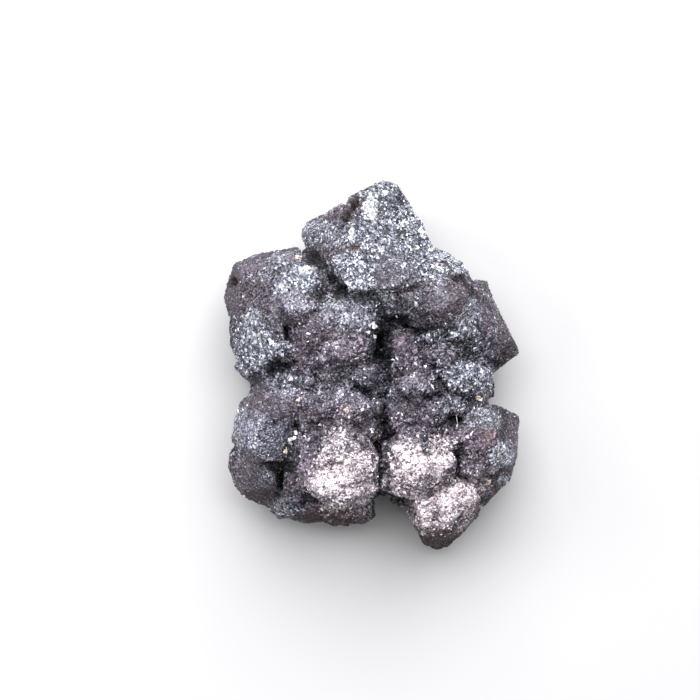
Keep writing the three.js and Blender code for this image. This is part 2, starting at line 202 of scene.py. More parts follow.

# Where the finishes and the painted light and shade are, seen from above: x, y, reach to both sides, turn in
# degrees, strength.
ZONES = {
    # Silver is partly the mineral's own lustre and partly painted highlight, laid strongest on faces that
    # catch the light; a few zones lighten the shade under the top crystal.
    "silver": {
        "top_right_edge": (4.3, 12.6, 2.0, 4.6, 30, 1.0),
        "top_middle": (1.6, 13.4, 2.6, 3.4, 20, 0.6),
        "top_round_cell": (-0.6, 12.9, 1.6, 1.6, 0, 0.85),
        "top_apex": (1.0, 17.6, 2.4, 1.3, 0, 0.7),
        "top_low_left": (-1.9, 9.2, 2.3, 2.2, 0, 0.9),
        "top_left_ridge": (-3.4, 12.4, 1.4, 2.4, -35, 0.35),
        "top_shoulder": (-5.6, 13.2, 1.6, 1.6, 0, 0.3),
        "top_foot": (5.6, 10.9, 1.5, 0.8, -30, 0.9),
        "under_top": (2.6, 9.4, 3.4, 1.3, 0, 0.2),
        "under_top_dark": (-0.2, 7.1, 2.6, 1.0, -10, 0.95),
        "inner_face": (-7.4, 8.3, 2.4, 1.3, 25, 0.45),
        "inner_low": (-4.0, 6.1, 1.4, 0.9, 20, 0.6),
        "top_left_streaks": (-8.8, 9.6, 2.4, 1.0, 20, 0.35),
        "top_left_upper": (-8.2, 10.5, 2.2, 0.8, 12, 0.3),
        "top_left_valley": (-5.0, 9.7, 0.7, 1.1, 40, 0.4),
        "left_face": (-11.3, 2.4, 1.9, 2.9, 12, 0.9),
        "left_face_low": (-9.8, 1.2, 1.9, 1.4, 30, 0.6),
        "left_edge": (-13.2, -0.8, 0.9, 2.6, 20, 0.6),
        "left_crystal": (-10.8, -7.2, 1.6, 1.5, -20, 0.45),
        "left_crystal_edge": (-12.9, -6.0, 0.9, 2.2, 0, 0.5),
        "low_left_facet": (-10.6, -11.2, 0.9, 1.1, 0, 0.25),
        "knob": (-2.4, 5.0, 1.9, 1.4, 0, 0.6),
        "right_ledge": (8.4, 10.4, 1.7, 0.9, -35, 0.9),
        "boss_edge": (9.5, 4.9, 0.9, 1.8, -30, 0.6),
        "boss_left": (3.8, 5.6, 1.8, 1.6, 0, 0.2),
        "right_lower_face": (9.2, 2.2, 3.6, 1.2, -18, 0.3),
        "boss_foot": (7.4, 3.2, 2.8, 0.45, 5, 0.9),
        "right_mid": (9.6, -0.7, 2.6, 1.1, 8, 0.9),
        "right_mid_low": (10.6, -2.2, 1.8, 1.0, 0, 0.4),
        "right_low_facet": (12.8, -8.8, 1.2, 1.2, 20, 1.0),
        "right_low_top": (11.0, -5.2, 1.8, 1.0, -10, 0.5),
        "right_low_glint": (13.1, -11.4, 0.6, 0.8, 0, 1.0),
        "middle_right": (7.6, -4.0, 1.3, 1.1, 0, 0.6),
        "middle_upper": (1.0, 6.0, 1.6, 1.8, 0, 0.45),
        "middle_left_gap": (-8.6, -1.4, 1.6, 1.4, 0, 0.5),
        "middle": (-2.0, -2.0, 5.6, 2.2, 0, 0.15),
        "low_left_glints": (-8.3, -14.0, 1.7, 1.0, 0, 0.6),
        "low_rim_glints": (-0.6, -14.9, 1.4, 0.8, 0, 0.5),
    },
    # Frost is partly a bright, soft finish and partly painted highlight on faces that catch the light, among
    # them the left crystal's lower face and the low right facet.
    "frost_and_highlight": {
        "top_round_cell": (-0.7, 12.9, 1.3, 1.2, 0, 0.75),
        "top_low_left": (-2.1, 9.4, 1.7, 1.6, 0, 0.4),
        "inner_round_patch": (-8.9, 7.5, 0.8, 0.8, 0, 0.9),
        "inner_face": (-7.6, 8.0, 1.9, 1.2, 25, 0.6),
        "inner_foot": (-7.4, 6.0, 1.5, 0.9, 0, 0.5),
        "left_face": (-11.6, 2.8, 1.5, 2.0, 12, 0.7),
        "left_face_low": (-9.6, 1.6, 1.1, 1.0, 30, 0.5),
        "left_crystal": (-10.5, -6.7, 2.4, 1.8, -30, 0.95),
        "boss_streak": (6.7, 7.2, 0.6, 1.2, 10, 0.3),
        "right_of_boss": (9.9, 5.3, 0.9, 1.3, -20, 0.6),
        "right_mid": (9.4, -0.8, 2.2, 0.9, 8, 0.6),
        "right_low_facet": (12.6, -8.6, 1.2, 1.2, 20, 1.0),
        "middle_top": (-1.0, 5.2, 1.4, 1.0, 0, 0.4),
    },
    "purple": {
        "boss": (7.9, 6.0, 2.2, 2.5, 0, 1.0),
        "boss_left": (4.6, 6.0, 2.6, 1.9, 0, 0.8),
        "right_tip": (12.7, 4.0, 1.7, 3.4, 28, 0.9),
        "right_ledge": (10.9, 7.6, 1.3, 1.1, 0, 0.7),
        "middle_left": (-4.6, 1.6, 4.2, 3.4, 0, 0.75),
        "middle_low": (-3.4, -4.6, 4.6, 2.6, 0, 0.75),
        "middle_right": (3.4, -5.4, 2.8, 2.2, 0, 0.6),
        "purple_wall": (2.7, 2.4, 1.4, 2.0, 10, 1.0),
        "right_low": (9.6, -7.6, 2.4, 3.4, 0, 0.85),
        "right_low_side": (14.2, -7.4, 0.9, 3.2, 0, 0.8),
        "right_low_rim": (10.9, -12.6, 2.4, 1.4, 25, 0.8),
        "bottom_tip": (6.4, -16.9, 3.0, 1.9, 0, 0.9),
        "top_left_block": (-12.4, 8.0, 2.4, 2.6, 0, 0.7),
        "top_left_low": (-11.6, 5.6, 2.6, 1.2, 0, 0.7),
        "inner_low": (-8.3, 4.2, 1.6, 1.6, 0, 0.8),
        "left_crystal": (-11.0, -4.0, 3.2, 2.4, 0, 0.75),
        "low_left": (-12.6, -11.0, 1.8, 2.4, 0, 0.9),
        "low_left_lump": (-6.6, -11.0, 2.2, 2.6, 0, 0.7),
        "top_shoulder_low": (-4.2, 11.4, 1.4, 1.6, 0, 0.5),
    },
    # Lilac is partly the mineral's own tone and partly painted light: on lit tops such as the boss and the
    # left crystal, and under the top crystal.
    "lilac": {
        "purple_lump": (4.2, -1.7, 1.6, 1.0, 10, 0.95),
        "inner_foot": (-7.6, 5.8, 2.0, 1.3, 0, 0.95),
        "boss_top": (6.2, 8.1, 1.1, 0.7, 0, 0.9),
        "under_top": (3.4, 9.0, 2.6, 1.2, 0, 0.45),
        "left_crystal_top": (-9.8, -3.4, 1.9, 1.3, 0, 0.3),
        "left_crystal_low": (-10.0, -8.8, 1.6, 0.8, 0, 0.5),
        "right_tip": (11.9, 5.0, 1.4, 2.6, 28, 0.4),
        "low_left": (-13.0, -11.0, 1.1, 2.0, 0, 0.4),
        "right_low_side": (14.1, -7.6, 1.0, 3.0, 0, 0.35),
        "middle_right_low": (4.6, -4.4, 2.0, 1.2, 0, 0.3),
        "top_left_block": (-11.2, 9.4, 1.8, 0.9, 10, 0.5),
        "top_left_upper": (-8.8, 10.4, 1.8, 0.8, 5, 0.4),
        "middle_knob": (-1.4, 4.6, 1.2, 1.2, 0, 0.7),
        "middle_patch": (-4.2, 1.7, 0.7, 1.0, 0, 0.6),
        "middle_knob_low": (-2.2, 1.9, 1.6, 1.0, 0, 0.55),
        "top_edge": (-2.6, 16.6, 2.6, 0.5, 38, 0.6),
        "low_middle": (-6.2, -8.2, 1.6, 1.8, 0, 0.15),
        "right_mid": (7.6, 1.0, 1.6, 0.9, 0, 0.3),
    },
    "rust": {
        "right_low_patch": (11.4, -7.1, 1.1, 0.9, -30, 0.4),
        "low_rim": (-3.8, -14.8, 3.0, 0.7, 0, 0.5),
        "boss_left_top": (1.6, 7.2, 1.2, 0.5, -20, 0.4),
    },
    "brown": {
        "low_rim": (-3.4, -15.0, 4.4, 0.9, 0, 0.8),
        "low_left_under": (-10.8, -13.2, 2.0, 1.0, 0, 0.6),
        "top_pit": (-1.7, 15.9, 0.6, 0.9, -15, 0.9),
        "second_pit": (-2.5, 14.6, 0.55, 0.8, -15, 0.9),
        "top_spot": (-1.8, 11.5, 0.6, 0.4, 0, 0.9),
        "top_brown_edge": (-0.5, 17.7, 0.8, 0.4, 40, 0.6),
        "top_left_corner": (-5.0, 11.0, 1.5, 1.1, 0, 0.7),
        "edge_pit": (-13.7, 8.4, 0.6, 0.6, 0, 0.9),
        "right_tip_low": (13.4, 0.6, 1.2, 0.7, 0, 0.5),
        "bottom_tip": (6.8, -17.3, 3.4, 1.7, 0, 0.9),
        "bottom_tip_rim": (8.6, -16.2, 2.4, 0.7, 48, 0.7),
        "right_low_rim": (11.2, -12.8, 2.2, 1.1, 30, 0.55),
    },
    # Painted shade: the dark tone is laid in holes, cracks and gaps, under the top crystal, the boss and the
    # left crystal, and on faces turned from the light. A few weaker zones darken streaks and patches on the
    # top faces.
    "dark": {
        "middle_hole": (1.1, 2.2, 0.85, 3.0, 0, 1.0),
        "middle_hole_low": (1.0, 0.9, 1.25, 0.9, 0, 1.0),
        "middle_hole_top": (2.4, 4.4, 1.5, 0.8, 15, 1.0),
        "boss_left": (3.8, 5.8, 1.9, 1.5, 0, 0.4),
        "boss_rim_left": (4.4, 7.75, 1.3, 0.2, 3, 0.7),
        "boss_rim_right": (9.7, 7.5, 0.4, 0.9, 50, 0.6),
        "low_left": (-10.0, -11.5, 1.2, 1.2, 0, 0.3),
        "under_top_left": (-3.3, 8.1, 0.5, 1.6, 42, 0.9),
        "top_lines": (2.0, 13.8, 1.5, 1.1, -20, 0.3),
        "top_darker_patch": (1.4, 15.8, 0.9, 0.8, 0, 0.35),
        "top_left_streaks": (-9.2, 9.2, 1.4, 0.4, 20, 0.4),
        "beside_boss": (3.6, 3.7, 1.0, 0.5, 0, 0.7),
        "under_boss": (6.9, 3.75, 1.7, 0.22, 0, 0.8),
        "right_face": (10.0, 1.4, 3.4, 0.9, -30, 0.4),
        "under_left_face": (-9.0, 0.3, 1.6, 0.8, 30, 0.85),
        "left_of_face": (-12.2, -1.6, 1.2, 0.6, 20, 0.6),
        "middle_crack": (-0.9, -2.3, 1.4, 0.45, -40, 0.8),
        "middle_crack_right": (2.3, -1.6, 0.4, 1.0, 20, 0.7),
        "low_crack": (1.4, -5.6, 0.4, 2.6, 5, 0.9),
        "right_hole": (8.1, -5.4, 1.0, 0.8, 0, 1.0),
        "right_hole_left": (6.4, -3.0, 1.2, 0.5, 10, 0.6),
        "right_crack": (8.5, -8.0, 0.5, 0.8, 0, 0.9),
        "beside_left_crystal": (-7.45, -6.2, 0.3, 1.4, -10, 0.85),
        "under_left_crystal": (-9.0, -9.9, 1.6, 0.55, 0, 0.85),
        "left_gap": (-9.0, -11.2, 0.45, 1.6, 0, 1.0),
        "low_notch": (0.9, -14.2, 1.0, 1.6, 0, 0.9),
        "top_left_crack": (-5.8, 10.7, 0.6, 0.8, 0, 0.7),
    },
    # Painted highlights: white laid where faces flash the light, most on the top crystal and on bright facets
    # and spots.
    "white": {
        "top_flash": (-0.1, 15.6, 0.75, 1.4, -12, 1.0),
        "top_glint": (1.2, 17.2, 0.5, 0.3, 0, 0.9),
        "top_spot": (3.1, 14.0, 0.55, 0.45, 0, 0.9),
        "top_spot_high": (4.1, 14.9, 0.35, 0.4, 0, 0.8),
        "top_spot_right": (4.9, 13.2, 0.55, 0.35, -50, 0.9),
        "top_spot_low": (4.2, 11.6, 0.4, 0.35, 0, 0.9),
        "top_spot_corner": (5.7, 11.6, 0.35, 0.5, 0, 0.9),
        "cell_rim": (-1.9, 12.9, 0.25, 0.9, 0, 0.7),
        "inner_spot": (-6.4, 9.5, 0.7, 0.5, 20, 1.0),
        "inner_streak": (-8.6, 7.7, 0.8, 0.4, 40, 0.6),
        "inner_low": (-3.6, 6.0, 0.6, 0.4, 0, 0.6),
        "left_spot": (-11.3, 3.0, 0.6, 0.7, 0, 0.6),
        "left_spot_top": (-11.9, 4.6, 0.8, 0.4, 0, 0.5),
        "left_crystal_spot": (-11.3, -7.5, 0.4, 0.4, 0, 0.7),
        "right_mid_spot": (9.1, -0.8, 0.5, 0.3, 0, 0.8),
        "right_low_spot": (12.0, -8.2, 0.4, 0.3, 0, 0.6),
        "right_low_facet": (12.7, -8.7, 0.9, 0.9, 20, 0.65),
    },
    "pale": {
        "left_lump_bright": (-4.0, -11.2, 1.9, 2.0, 0, 1.0),
        "left_lump": (-1.6, -11.0, 1.9, 3.0, 0, 0.75),
        "left_lump_middle": (-3.2, -9.4, 2.0, 1.3, 0, 0.8),
        "left_lump_top": (-3.3, -7.4, 1.3, 1.5, 0, 0.5),
        "left_lump_foot": (-2.9, -13.4, 2.4, 1.0, 0, 0.6),
        "right_lump": (3.7, -9.2, 1.9, 1.9, 20, 0.9),
        "right_lump_right": (6.5, -8.6, 1.3, 1.8, 0, 0.85),
        "right_lump_foot": (3.4, -11.9, 2.6, 1.3, -15, 0.65),
        "bottom_lump": (7.3, -13.4, 3.4, 2.1, 25, 1.0),
        "bottom_lump_foot": (6.6, -15.2, 1.7, 0.7, 10, 0.7),
        "middle_touch": (-2.6, -4.2, 0.7, 0.9, 0, 0.35),
        "tip_streak": (9.2, -15.6, 0.5, 1.4, -45, 0.5),
        "right_low_streak": (11.9, -10.3, 0.5, 0.25, 15, 0.8),
    },
}

# The drusy parts, where the small crystals and the relief stand up most.
DRUSY = {
    "middle": (-0.4, -2.0, 9.0, 8.0, 0, 1.0),
    "left_lump": (-3.5, -10.0, 5.0, 5.0, 0, 1.0),
    "right_lump": (5.0, -11.0, 4.6, 5.0, 0, 1.0),
    "right_low": (10.0, -8.0, 2.6, 4.0, 0, 0.7),
}

# The crystal faces with finer and more even grains than the rest.
SMOOTH = {
    "left_crystal": (-10.6, -6.0, 3.0, 4.4, 0, 1.0),
    "low_left": (-11.6, -11.4, 3.0, 2.6, 0, 0.8),
    "boss": (6.3, 5.9, 3.8, 2.4, 0, 1.0),
    "right_tip": (12.4, 4.2, 2.2, 4.0, 28, 0.8),
    "right_low": (12.8, -7.6, 2.6, 5.0, 0, 0.8),
    "top_left_block": (-12.0, 7.4, 3.4, 3.8, 0, 0.6),
    "inner_foot": (-7.6, 5.6, 2.2, 1.6, 0, 0.8),
    "purple_lump": (4.2, -1.7, 1.8, 1.4, 0, 0.9),
    "top_low": (2.6, 9.2, 3.4, 1.6, 0, 0.6),
    "bottom_tip": (6.8, -17.4, 3.4, 1.6, 0, 0.2),
}

# Small pits in the crystal faces, as zones whose strength is the depth. No grain grows below the bare depth.
PITS = {
    "top": (-1.7, 15.9, 0.36, 0.6, -15, 1.1),
    "top_second": (-2.5, 14.6, 0.34, 0.5, -15, 1.1),
    "left_edge": (-13.7, 8.4, 0.38, 0.38, 0, 0.9),
}
BARE_DEPTH = 0.4

# Separate light grains that lie on the surface: x, y, reach, number of grains, and how far they spread.
CREAM_SPOTS = (
    (-7.25, 10.7, 0.34, 5, 0.12), (-4.45, 14.2, 0.26, 3, 0.08), (6.4, 9.9, 0.24, 3, 0.08),
    (10.6, -3.0, 0.4, 5, 0.16), (-7.2, -3.3, 0.26, 3, 0.1), (-8.5, -8.2, 0.34, 4, 0.12),
    (-11.2, -2.2, 0.22, 2, 0.1), (4.3, -14.9, 0.3, 5, 0.25), (11.7, -11.4, 0.32, 3, 0.1),
    (8.35, -5.8, 0.22, 2, 0.1), (-2.5, -4.2, 0.3, 4, 0.15), (9.4, -15.2, 0.24, 4, 0.4),
)
# White grains: some are white flakes, and many are painted glints that stand where the white zones paint
# highlights, most on the top crystal.
WHITE_SPOTS = (
    (4.2, 6.05, 0.4, 2, 0.06), (8.0, 3.2, 0.36, 2, 0.08), (0.14, 4.0, 0.5, 4, 0.1),
    (0.25, 2.87, 0.38, 2, 0.05), (-6.45, 9.6, 0.34, 3, 0.12), (5.85, -2.0, 0.36, 2, 0.06),
    (-8.0, -7.3, 0.34, 3, 0.12), (-7.5, -6.5, 0.3, 2, 0.1), (-3.6, 6.1, 0.24, 3, 0.2),
    (4.1, -1.1, 0.18, 3, 0.2), (-0.1, 15.6, 0.34, 7, 0.3), (3.1, 14.0, 0.28, 3, 0.12),
    (1.2, 17.2, 0.26, 2, 0.12), (5.8, 11.5, 0.28, 3, 0.12), (-10.4, -9.2, 0.16, 3, 0.25),
    (3.2, 14.2, 0.4, 4, 0.14), (4.85, 13.4, 0.38, 4, 0.16), (4.35, 11.6, 0.32, 3, 0.1),
    (4.0, 14.6, 0.28, 2, 0.08), (-7.75, -6.95, 0.34, 3, 0.1),
)
SINGLE_GRAINS = {
    "flatness": (0.35, 0.6),
    "sunk": 0.0,
    "reach_share": (0.6, 1.0),
    "lean": 0.4,
    "shade": (0.8, 1.05),
    "uneven": 0.15,
}

# Hair-thin needles: from x, y to x, y, with their width and how far their middle line is over the surface.
NEEDLES = ((3.3, 5.2, 4.1, 5.9), (8.3, -4.7, 8.4, -5.8), (-4.7, 7.1, -3.4, 6.4), (-1.3, 6.1, -0.6, 5.6))
NEEDLE = {"width": 0.03, "lift": 0.15}

# The heights of y that part the regions of the druse, and how drusy it is at the edge of the middle region.
REGION_LINES = {"top": 10.5, "upper": 3, "level": -8.5}
MIDDLE_FROM = 0.5

# The surface that it lies on, in metres, and its light: where each lamp is, its size and its energy.
FLOOR = {"half_width": 2.0, "colour": (0.45, 0.45, 0.46, 1), "roughness": 0.9}
LIT_PLACE = Vector((0, 0, 0.008))
LAMPS = {"key": ((0.02, 0.18, 0.3), 0.38, 3.5), "fill": ((-0.25, 0.05, 0.2), 0.2, 0.6)}
DAYLIGHT = {"colour": (1, 1, 1, 1), "strength": 0.3}

# The camera looks straight down from this place. It sees nothing nearer than the nearest.
CAMERA = {"lens": 150, "place": (-2.15, 1.6, 298.7), "nearest": 10}


def unit(vectors):
    return vectors / np.linalg.norm(vectors, axis=-1, keepdims=True)


def soft_noise(points, scale):
    """Smooth noise from -1 to 1 at each point, with swells about scale millimetres apart."""
    return np.array([noise.noise(Vector(p)) for p in points / scale])


def soft_noise_vectors(points, scale):
    return np.array([noise.noise_vector(Vector(p)) for p in points / scale])


def swells(points, layers, start=0):
    """Noise of several sizes, each with its height, added to start."""
    return sum((height * soft_noise(points, size) for size, height in layers), start=start)


def zone_weight(points, zones, wobble=0.0, edge=EDGES["width"]):
    """How far, 0 to 1, each point lies in any of the zones. Their edges are as wide as edge, a share of a
    zone's reach, and the wobble makes them ragged."""
    weight = np.zeros(len(points))
    for x, y, reach_x, reach_y, turn, strength in zones.values():
        right, up = points[:, 0] - x, points[:, 1] - y
        cos, sin = math.cos(math.radians(turn)), math.sin(math.radians(turn))
        away = np.hypot((right * cos + up * sin) / reach_x, (up * cos - right * sin) / reach_y)
        inside = np.clip((1 + edge / 2 - away + EDGES["shift"] * wobble) / edge, 0, 1)
        weight = np.maximum(weight, strength * inside)
    return weight


def tones_at(points, outward):
    """How much of each finish, painted shade and painted highlight there is at each point. The zones fade out
    on faces that look down.
    """
    ragged = swells(points, EDGES["swells"])
    tones = {tone: zone_weight(points, zones, ragged) for tone, zones in ZONES.items()}
    tones["pale"] = zone_weight(points, ZONES["pale"], EDGES["pale_fray"] * ragged, EDGES["pale_width"])
    seen_from_above = np.clip(FADE["growth"] * outward[:, 2] + FADE["upright"], 0, 1)
    tones = {tone: weight * seen_from_above for tone, weight in tones.items()}
    stray = np.clip(soft_noise(points, STRAY_PURPLE["size"]) + STRAY_PURPLE["level"], 0, STRAY_PURPLE["most"])
    tones["purple"] = np.maximum(tones["purple"], stray)
    return tones


def spread_of(tones, smooth):
    """How much the shade differs from grain to grain at each point: less where the faces are smooth."""
    spread = np.full(len(smooth), TONES["plain"][3])
    for tone, weight in tones.items():
        spread = spread + (TONES[tone][3] - spread) * weight
    return spread * (1 - SMOOTH_GRAINS["spread_lost"] * smooth)


# Painted shade from the relief: darker in hollows, lighter where it stands up.
def painted_hollow_shade(relief):
    return np.interp(relief, HOLLOWS["relief"], HOLLOWS["shade"])


def piece_from(mesh, name, material):
    """A finished piece from a mesh in millimetres."""
    mesh.transform(Matrix.Scale(MM, 4))
    piece = bpy.data.objects.new(name, mesh)
    bpy.context.scene.collection.objects.link(piece)
    mesh.materials.clear()
    mesh.materials.append(material)
    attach(piece, "root")
    return piece


def write_attributes(mesh, attributes):
    for name, values in attributes.items():
        mesh.attributes.new(name, "FLOAT", "POINT").data.foreach_set("value", values.astype(np.float32))


def vertex_values(mesh, what):
    """The places (co) or normals (normal) of all vertices, one row each."""
    values = np.empty(3 * len(mesh.vertices), dtype=np.float32)
    mesh.vertices.foreach_get(what, values)
    return values.reshape(-1, 3).astype(np.float64)


def fine_copy_of_solid():
    """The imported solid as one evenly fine, closed mesh in millimetres, its edges just broken."""
    work = bmesh.new()
    work.from_mesh(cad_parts[NODE].data)
    bmesh.ops.remove_doubles(work, verts=work.verts, dist=SKIN["merge"])
    bmesh.ops.scale(work, vec=(1 / MM,) * 3, verts=work.verts)
    mesh = bpy.data.meshes.new("solid_copy")
    work.to_mesh(mesh)
    work.free()
    copy = bpy.data.objects.new("solid_copy", mesh)
    bpy.context.scene.collection.objects.link(copy)
    remesh = copy.modifiers.new("fine", "REMESH")
    remesh.mode = "VOXEL"
    remesh.voxel_size = SKIN["voxel"]
    smooth = copy.modifiers.new("break_edges", "SMOOTH")
    smooth.factor = SKIN["smoothing"]
    smooth.iterations = SKIN["smoothing_rounds"]
    fine = bpy.data.meshes.new_from_object(copy.evaluated_get(bpy.context.evaluated_depsgraph_get()))
    bpy.data.objects.remove(copy)
    return fine


def facet_relief(places, normals, drusy):
    """How far each point moves for the surface to be small flat facets, tilted and stepped by chance."""
    count = int(len(places) * (SKIN["voxel"] / SKIN["facet_spacing"]) ** 2)
    seeds = rng.choice(len(places), count, replace=False)
    tree = KDTree(count)
    for index, seed in enumerate(seeds):
        tree.insert(places[seed], index)
    tree.balance()
    cell = np.array([tree.find(p)[1] for p in places])
    tilted = unit(normals[seeds] + SKIN["facet_tilt"] * rng.normal(size=(count, 3)))
    above = np.einsum("ij,ij->i", places - places[seeds][cell], tilted[cell])
    cut = above * np.interp(drusy, (0, 1), SKIN["facet_flatness"])
    cut = np.clip(cut, -SKIN["deepest_cut"], SKIN["deepest_cut"])
    step = rng.uniform(-1, 1, count)[cell] * np.interp(drusy, (0, 1), SKIN["facet_step"])
    return step - cut


def skin_mesh():
    """The fine copy with its relief: facets, swells from coarse to fine, and small pits. Also how far each
    vertex stands above or below the solid."""
    mesh = fine_copy_of_solid()
    places, normals = vertex_values(mesh, "co"), vertex_values(mesh, "normal")
    drusy = zone_weight(places, DRUSY, soft_noise(places, SKIN["druse_edge"]))
    drusy *= normals[:, 2] > SKIN["druse_down_to"]
    relief = facet_relief(places, normals, drusy)
    for size, on_faces, in_druse in SKIN["layers"]:
        relief += np.interp(drusy, (0, 1), (on_faces, in_druse)) * soft_noise(places, size)
    relief -= zone_weight(places, PITS) * (normals[:, 2] > 0)
    places = np.clip(places + relief[:, None] * normals, *(np.array(corner) / MM for corner in CAD_BOX))
    mesh.vertices.foreach_set("co", places.astype(np.float32).ravel())
    mesh.update()
    mesh.polygons.foreach_set("use_smooth", np.ones(len(mesh.polygons), dtype=bool))
    return mesh, relief


def surface_points(mesh, relief, count, lowest):
    """Points by chance over the mesh, evenly by area, with the outward direction and relief at each. Those
    under the lowest height are left out."""
    mesh.calc_loop_triangles()
    corners = np.empty(3 * len(mesh.loop_triangles), dtype=np.int32)
    mesh.loop_triangles.foreach_get("vertices", corners)
    corners = corners.reshape(-1, 3)
    triangles = vertex_values(mesh, "co")[corners]
    side_a, side_b = triangles[:, 1] - triangles[:, 0], triangles[:, 2] - triangles[:, 0]
    cross = np.cross(side_a, side_b)
    area = np.linalg.norm(cross, axis=1)
    pick = rng.choice(len(area), count, p=area / area.sum())
    a, b = rng.random((2, count))
    over = a + b > 1
    a[over], b[over] = 1 - a[over], 1 - b[over]
    points = triangles[pick, 0] + a[:, None] * side_a[pick] + b[:, None] * side_b[pick]
    outward = cross[pick] / area[pick][:, None]
    above = relief[corners[pick]].mean(axis=1)
    high = points[:, 2] > lowest
    return points[high], outward[high], above[high]


def grain_shape():
    """One grain: an octahedron that lies on a face, as corners and triangles."""
    work = bmesh.new()
    bmesh.ops.create_uvsphere(work, u_segments=4, v_segments=2, radius=1)
    bmesh.ops.triangulate(work, faces=work.faces)
    lie_down = Vector((1, 1, 1)).rotation_difference(Vector((0, 0, 1))).to_matrix()
    bmesh.ops.rotate(work, verts=work.verts, cent=(0, 0, 0), matrix=lie_down)
    bmesh.ops.recalc_face_normals(work, faces=work.faces)
    corners = np.array([v.co[:] for v in work.verts])
    triangles = np.array([[v.index for v in face.verts] for face in work.faces])
    work.free()
    return corners, triangles


def grown_grains(name, grains, size):
    """Joins one grain for each row of grains into a mesh. Its top face points up, and its foot is sunk."""
    count = len(grains["point"])
    corners, triangles = grain_shape()
    up = grains["up"]
    side = unit(np.cross(up, rng.normal(size=(count, 3))))
    across = np.cross(up, side)
    flat = rng.uniform(*size["flatness"], count)[:, None]
    stretch = rng.uniform(*GRAINS["stretch"], count)[:, None]
    if "silver" in grains["tones"]:
        longer = grains["tones"]["silver"] * rng.random(count)
        stretch *= 1 + SILVER_GRAINS["stretch"] * longer[:, None]
    axes = np.stack([side * stretch, across / stretch, up * flat], axis=1)
    axes = axes * grains["reach"][:, None, None]
    middle = grains["point"] - (size["sunk"] * grains["reach"])[:, None] * grains["outward"]
    places = middle[:, None] + corners @ axes
    faces = triangles[None] + (len(corners) * np.arange(count))[:, None, None]
    mesh = bpy.data.meshes.new(name)
    mesh.from_pydata(places.reshape(-1, 3), [], faces.reshape(-1, 3))
    at_corners = {tone: np.repeat(values, len(corners)) for tone, values in grains["tones"].items()}
    write_attributes(mesh, at_corners)
    return mesh


def grain_shade(points, spread, above):
    """The shade of each grain, from its clump, chance, painted shade in the hollow that it may be in and
    painted light where it stands up, and wide swells.
    """
    clump_size, clump_height = GRAIN_SHADE["clumps"]
    by_chance = rng.normal(size=len(points)) + clump_height * soft_noise(points, clump_size)
    shade = np.exp(GRAIN_SHADE["by_chance"] * spread * by_chance - GRAIN_SHADE["evened"] * spread**2)
    return shade * painted_hollow_shade(above) * swells(points, GRAIN_SHADE["swells"], start=1)


def scattered(skin, relief, size):
    """Grains by chance over the skin: where each is, which way its top faces, its reach and its tones. Most
    are near the smallest reach."""
    points, outward, above = surface_points(skin, relief, size["tries"], size["lowest"])
    bare = (zone_weight(points, PITS) > BARE_DEPTH) & (outward[:, 2] > 0)
    points, outward, above = points[~bare], outward[~bare], above[~bare]
    count = len(points)
    tones = tones_at(points, outward)
    smooth = zone_weight(points, SMOOTH) * (outward[:, 2] > 0)
    spread = spread_of(tones, smooth)
    shade = grain_shade(points, spread, above)

    glint_share = size["glints"] * (1 - SMOOTH_GRAINS["glints_lost"] * smooth)
    glint_share *= 1 - GLINTS["lost_in_purple"] * tones["purple"]
    glint = rng.random(count) < glint_share
    glint &= tones["pale"] + tones["dark"] < GLINTS["pale_or_dark_below"]
    silver = tones["silver"] * rng.uniform(*SILVER_GRAINS["kept"], count)
    # Glint grains get a painted highlight: more silver and a brighter shade than their neighbours.
    tones["silver"] = np.where(glint, GLINTS["silver"], silver)
    tones["shade"] = np.clip(np.where(glint, GLINTS["shade"], shade), *GRAIN_SHADE["range"])
    tones["uneven"] = np.where(glint, GLINTS["uneven"], spread)

    steeper = 1 + (SMOOTH_GRAINS["lean"] - 1) * smooth
    bigger = 1 + (SILVER_GRAINS["reach"] - 1) * tones["silver"]
    bigger *= 1 + (SMOOTH_GRAINS["reach"] - 1) * smooth
    by_patch = PATCHES["lean"] * soft_noise_vectors(points, PATCHES["size"])
    by_chance = size["lean"] * rng.normal(size=(count, 3))
    by_chance *= (SILVER_GRAINS["dull_lean"] - tones["silver"])[:, None]
    smallest, biggest = size["reach"]
    return {
        "point": points,
        "outward": outward,
        "up": unit(outward + (by_patch + by_chance) * steeper[:, None]),
        "reach": (smallest + rng.random(count) ** 2 * (biggest - smallest)) * bigger,
        "tones": tones,
    }


def chosen_grains(grains, chosen):
    kept = {key: values[chosen] for key, values in grains.items() if key != "tones"}
    kept["tones"] = {tone: values[chosen] for tone, values in grains["tones"].items()}
    return kept


def new_material(name):
    material = bpy.data.materials.new(name)
    material.use_nodes = True
    return material, material.node_tree, material.node_tree.nodes["Principled BSDF"]


def wire(tree, value, socket):
    """Sets a socket to a number or colour, or links it to another node's output."""
    if isinstance(value, bpy.types.NodeSocket):
        tree.links.new(value, socket)
    else:
        socket.default_value = value


def math_node(tree, operation, *values, clamp=False):
    node = tree.nodes.new("ShaderNodeMath")
    node.operation = operation
    node.use_clamp = clamp
    for value, socket in zip(values, node.inputs):
        wire(tree, value, socket)
    return node.outputs[0]


def vector_math(tree, operation, *values, scale=None):
    node = tree.nodes.new("ShaderNodeVectorMath")
    node.operation = operation
    for value, socket in zip(values, node.inputs):
        wire(tree, value, socket)
    if scale is not None:
        wire(tree, scale, node.inputs["Scale"])
    return node.outputs[0]


def mixed(tree, kind, factor, first, second):
    """A Mix node of kind RGBA or FLOAT, whose sockets for that kind come after the factor."""
    node = tree.nodes.new("ShaderNodeMix")
    node.data_type = kind
    sockets = [socket for socket in node.inputs if socket.enabled]
    for value, socket in zip((factor, first, second), sockets):
        wire(tree, value, socket)
    return next(socket for socket in node.outputs if socket.enabled)


